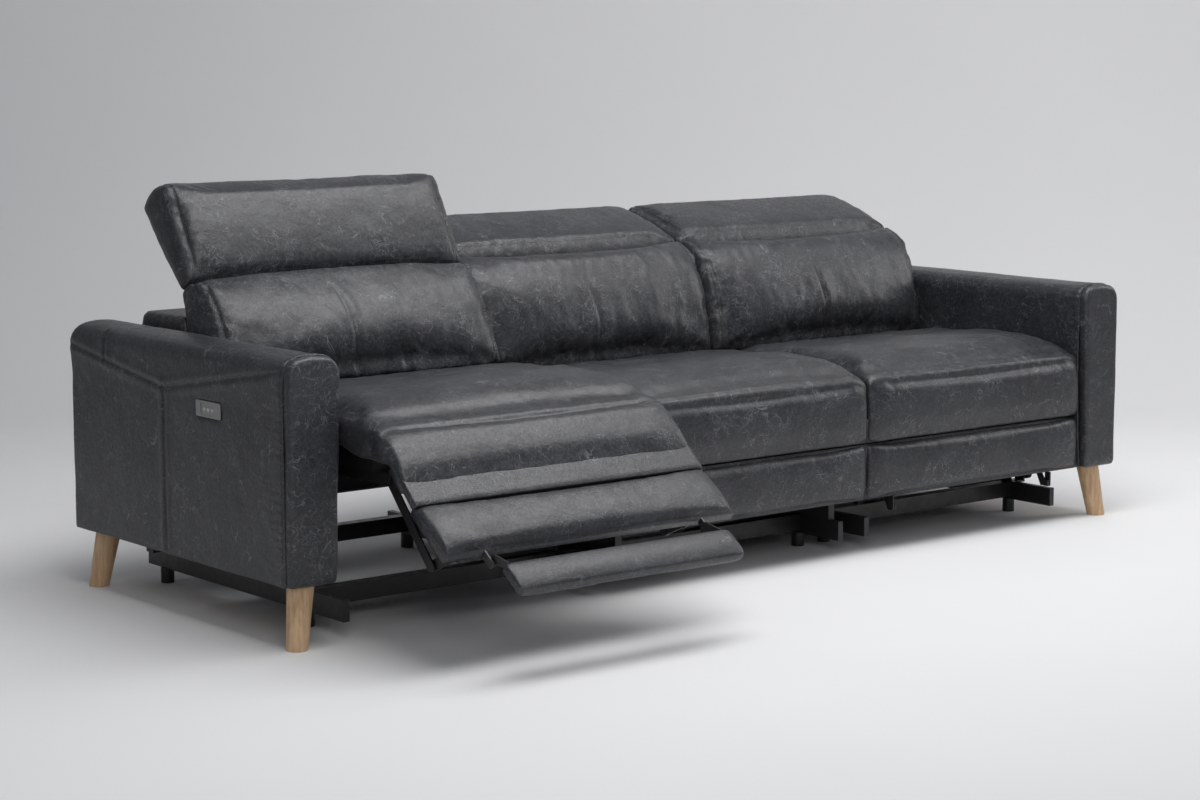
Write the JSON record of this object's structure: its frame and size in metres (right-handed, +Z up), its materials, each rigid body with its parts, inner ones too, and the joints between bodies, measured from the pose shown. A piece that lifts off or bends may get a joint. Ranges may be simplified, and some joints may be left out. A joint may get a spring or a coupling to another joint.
{
  "type": "reclining sofa",
  "caption": "Three-seat leather sofa with power-reclining end seats, folding legrests, tilting headrests, slim padded arms and splayed wooden legs.",
  "frame": {"origin": "on the floor under the centre of the bounding box, with the left seat reclined and the right seat closed", "axes": "+X to the sitter-facing viewer's right along the sofa's length, +Y towards the back, +Z up"},
  "size_m": [2.4538, 1.4158, 0.8906],
  "materials": {
    "leather": "semi-gloss dark slate-grey pull-up leather with fine lighter veins",
    "leg_wood": "light oak, satin lacquer",
    "frame_wood": "raw softwood boards",
    "mechanism_steel": "black powder coat",
    "zinc_steel": "zinc-plated rod",
    "spring_steel": "drawn spring wire",
    "hinge_chrome": "polished chrome",
    "motor_plastic": "black moulded housing",
    "switch_metal": "pewter, brushed",
    "button": "light grey glossy"
  },
  "bodies": {
    "root": {"left_arm_frame": "frame_wood", "left_arm_cover": "leather", "left_arm_front_panel": "leather", "left_switch_plate": "switch_metal", "right_arm_frame": "frame_wood", "right_arm_cover": "leather", "right_arm_front_panel": "leather", "right_switch_plate": "switch_metal", "front_legs": "leg_wood", "rear_legs": "leg_wood", "base_frame": "mechanism_steel", "rear_lower_panel": "leather", "middle_seat_frame": "mechanism_steel", "middle_seat_cushion": "leather", "middle_front_panel": "leather", "middle_back_frame": "mechanism_steel", "middle_back_shell": "leather", "middle_back_cushion": "leather"},
    "left_front_lift": {"left_front_lift_links": "mechanism_steel"},
    "left_rear_lift": {"left_rear_lift_links": "mechanism_steel"},
    "left_seat": {"left_seat_frame": "mechanism_steel", "left_seat_springs": "spring_steel", "left_seat_cushion": "leather"},
    "left_flap": {"left_legrest_flap": "leather"},
    "left_rear_ottoman": {"left_rear_ottoman_links": "mechanism_steel"},
    "left_front_ottoman": {"left_front_ottoman_links": "mechanism_steel"},
    "left_legrest": {"left_legrest_board": "leather"},
    "left_footrest": {"left_footrest_board": "leather"},
    "left_back": {"left_back_frame": "mechanism_steel", "left_back_shell": "leather", "left_back_cushion": "leather"},
    "left_headrest": {"left_headrest_pad": "leather", "left_headrest_brackets": "hinge_chrome"},
    "left_motor": {"left_actuator_motor": "motor_plastic"},
    "left_rod": {"left_actuator_rod": "zinc_steel"},
    "right_front_lift": {"right_front_lift_links": "mechanism_steel"},
    "right_rear_lift": {"right_rear_lift_links": "mechanism_steel"},
    "right_seat": {"right_seat_frame": "mechanism_steel", "right_seat_springs": "spring_steel", "right_seat_cushion": "leather"},
    "right_flap": {"right_legrest_flap": "leather"},
    "right_rear_ottoman": {"right_rear_ottoman_links": "mechanism_steel"},
    "right_front_ottoman": {"right_front_ottoman_links": "mechanism_steel"},
    "right_legrest": {"right_legrest_board": "leather"},
    "right_footrest": {"right_footrest_board": "leather"},
    "right_back": {"right_back_frame": "mechanism_steel", "right_back_shell": "leather", "right_back_cushion": "leather"},
    "right_headrest": {"right_headrest_pad": "leather", "right_headrest_brackets": "hinge_chrome"},
    "right_motor": {"right_actuator_motor": "motor_plastic"},
    "right_rod": {"right_actuator_rod": "zinc_steel"},
    "middle_headrest": {"middle_headrest_pad": "leather", "middle_headrest_brackets": "hinge_chrome"},
    "left_recline_button": {"left_recline_button": "button"},
    "left_legrest_button": {"left_legrest_button": "button"},
    "left_headrest_button": {"left_headrest_button": "button"},
    "right_recline_button": {"right_recline_button": "button"},
    "right_legrest_button": {"right_legrest_button": "button"},
    "right_headrest_button": {"right_headrest_button": "button"}
  },
  "joints": [
    {"name": "left_recline", "type": "hinge", "parent": "root", "child": "left_front_lift", "pos_m": [-0.734, -0.02568, 0.095], "axis": [1, 0, 0], "range_deg": [-40, 19.3]},
    {"name": "left_rear_lift", "type": "hinge", "parent": "root", "child": "left_rear_lift", "pos_m": [-0.734, 0.28432, 0.095], "axis": [1, 0, 0], "range_deg": [-40, 19.3]},
    {"name": "left_seat_level", "type": "hinge", "parent": "left_front_lift", "child": "left_seat", "pos_m": [-0.734, -0.0351, 0.27475], "axis": [1, 0, 0], "range_deg": [-19.3, 40]},
    {"name": "left_back_tilt", "type": "hinge", "parent": "left_seat", "child": "left_back", "pos_m": [-0.734, 0.23657, 0.436], "axis": [1, 0, 0], "range_deg": [-6.51, 13.5]},
    {"name": "left_headrest", "type": "hinge", "parent": "left_back", "child": "left_headrest", "pos_m": [-0.734, 0.39489, 0.64995], "axis": [1, 0, 0], "range_deg": [-58, 0]},
    {"name": "left_legrest", "type": "hinge", "parent": "left_seat", "child": "left_rear_ottoman", "pos_m": [-0.734, -0.30043, 0.339], "axis": [-1, 0, 0], "range_deg": [-60.68, 0]},
    {"name": "left_front_ottoman", "type": "hinge", "parent": "left_rear_ottoman", "child": "left_front_ottoman", "pos_m": [-0.734, -0.43693, 0.18607], "axis": [-1, 0, 0], "range_deg": [0, 95.86]},
    {"name": "left_legrest_tilt", "type": "hinge", "parent": "left_front_ottoman", "child": "left_legrest", "pos_m": [-0.734, -0.50673, 0.21688], "axis": [-1, 0, 0], "range_deg": [-88.18, 0]},
    {"name": "left_footrest_flip", "type": "hinge", "parent": "left_legrest", "child": "left_footrest", "pos_m": [-0.734, -0.59476, 0.2134], "axis": [-1, 0, 0], "range_deg": [-180, 0]},
    {"name": "left_flap_tilt", "type": "hinge", "parent": "left_seat", "child": "left_flap", "pos_m": [-0.734, -0.33143, 0.456], "axis": [-1, 0, 0], "range_deg": [-44.5, 0]},
    {"name": "left_motor_tilt", "type": "hinge", "parent": "left_seat", "child": "left_motor", "pos_m": [-0.734, 0.20657, 0.298], "axis": [1, 0, 0], "range_deg": [-5.94, 0]},
    {"name": "left_rod_slide", "type": "slide", "parent": "left_motor", "child": "left_rod", "axis": [0, -0.9994, -0.036], "range_m": [-0.03985, 0]},
    {"name": "right_recline", "type": "hinge", "parent": "root", "child": "right_front_lift", "pos_m": [0.734, -0.02568, 0.095], "axis": [1, 0, 0], "range_deg": [0, 59.3]},
    {"name": "right_rear_lift", "type": "hinge", "parent": "root", "child": "right_rear_lift", "pos_m": [0.734, 0.28432, 0.095], "axis": [1, 0, 0], "range_deg": [0, 59.3]},
    {"name": "right_seat_level", "type": "hinge", "parent": "right_front_lift", "child": "right_seat", "pos_m": [0.734, 0.08264, 0.23875], "axis": [1, 0, 0], "range_deg": [-59.3, 0]},
    {"name": "right_back_tilt", "type": "hinge", "parent": "right_seat", "child": "right_back", "pos_m": [0.734, 0.35432, 0.4], "axis": [1, 0, 0], "range_deg": [-20.01, 0]},
    {"name": "right_headrest", "type": "hinge", "parent": "right_back", "child": "right_headrest", "pos_m": [0.734, 0.45832, 0.645], "axis": [1, 0, 0], "range_deg": [0, 58]},
    {"name": "right_legrest", "type": "hinge", "parent": "right_seat", "child": "right_rear_ottoman", "pos_m": [0.734, -0.18268, 0.303], "axis": [-1, 0, 0], "range_deg": [0, 60.68]},
    {"name": "right_front_ottoman", "type": "hinge", "parent": "right_rear_ottoman", "child": "right_front_ottoman", "pos_m": [0.734, -0.11618, 0.1091], "axis": [-1, 0, 0], "range_deg": [-95.86, 0]},
    {"name": "right_legrest_tilt", "type": "hinge", "parent": "right_front_ottoman", "child": "right_legrest", "pos_m": [0.734, -0.15548, 0.1745], "axis": [-1, 0, 0], "range_deg": [0, 88.18]},
    {"name": "right_footrest_flip", "type": "hinge", "parent": "right_legrest", "child": "right_footrest", "pos_m": [0.734, -0.20568, 0.1021], "axis": [-1, 0, 0], "range_deg": [0, 180]},
    {"name": "right_flap_tilt", "type": "hinge", "parent": "right_seat", "child": "right_flap", "pos_m": [0.734, -0.21368, 0.42], "axis": [-1, 0, 0], "range_deg": [0, 44.5]},
    {"name": "right_motor_tilt", "type": "hinge", "parent": "right_seat", "child": "right_motor", "pos_m": [0.734, 0.32432, 0.262], "axis": [1, 0, 0], "range_deg": [0, 5.94]},
    {"name": "right_rod_slide", "type": "slide", "parent": "right_motor", "child": "right_rod", "axis": [0, -0.9977, 0.0676], "range_m": [0, 0.03985]},
    {"name": "middle_headrest", "type": "hinge", "parent": "root", "child": "middle_headrest", "pos_m": [0, 0.45832, 0.645], "axis": [1, 0, 0], "range_deg": [0, 58]},
    {"name": "left_recline_button_press", "type": "slide", "parent": "root", "child": "left_recline_button", "axis": [1, 0, 0], "range_m": [0, 0.0012], "stiffness_N_per_m": 400},
    {"name": "left_legrest_button_press", "type": "slide", "parent": "root", "child": "left_legrest_button", "axis": [1, 0, 0], "range_m": [0, 0.0012], "stiffness_N_per_m": 400},
    {"name": "left_headrest_button_press", "type": "slide", "parent": "root", "child": "left_headrest_button", "axis": [1, 0, 0], "range_m": [0, 0.0012], "stiffness_N_per_m": 400},
    {"name": "right_recline_button_press", "type": "slide", "parent": "root", "child": "right_recline_button", "axis": [-1, 0, 0], "range_m": [0, 0.0012], "stiffness_N_per_m": 400},
    {"name": "right_legrest_button_press", "type": "slide", "parent": "root", "child": "right_legrest_button", "axis": [-1, 0, 0], "range_m": [0, 0.0012], "stiffness_N_per_m": 400},
    {"name": "right_headrest_button_press", "type": "slide", "parent": "root", "child": "right_headrest_button", "axis": [-1, 0, 0], "range_m": [0, 0.0012], "stiffness_N_per_m": 400}
  ],
  "couplings": [
    {"joint": "left_rear_lift", "follows": "left_recline", "ratio": 1},
    {"joint": "left_seat_level", "follows": "left_recline", "ratio": -1},
    {"joint": "left_back_tilt", "follows": "left_recline", "ratio": -0.3375},
    {"joint": "left_front_ottoman", "follows": "left_legrest", "ratio": -1.5798},
    {"joint": "left_legrest_tilt", "follows": "left_legrest", "ratio": 1.4532},
    {"joint": "left_footrest_flip", "follows": "left_legrest", "ratio": 2.9664},
    {"joint": "left_flap_tilt", "follows": "left_legrest", "ratio": 0.73335},
    {"joint": "left_motor_tilt", "follows": "left_legrest", "ratio": 0.097886},
    {"joint": "left_rod_slide", "follows": "left_legrest", "m_per_rad": 0.037615},
    {"joint": "right_rear_lift", "follows": "right_recline", "ratio": 1},
    {"joint": "right_seat_level", "follows": "right_recline", "ratio": -1},
    {"joint": "right_back_tilt", "follows": "right_recline", "ratio": -0.3375},
    {"joint": "right_front_ottoman", "follows": "right_legrest", "ratio": -1.5798},
    {"joint": "right_legrest_tilt", "follows": "right_legrest", "ratio": 1.4532},
    {"joint": "right_footrest_flip", "follows": "right_legrest", "ratio": 2.9664},
    {"joint": "right_flap_tilt", "follows": "right_legrest", "ratio": 0.73335},
    {"joint": "right_motor_tilt", "follows": "right_legrest", "ratio": 0.097886},
    {"joint": "right_rod_slide", "follows": "right_legrest", "m_per_rad": 0.037615}
  ]
}
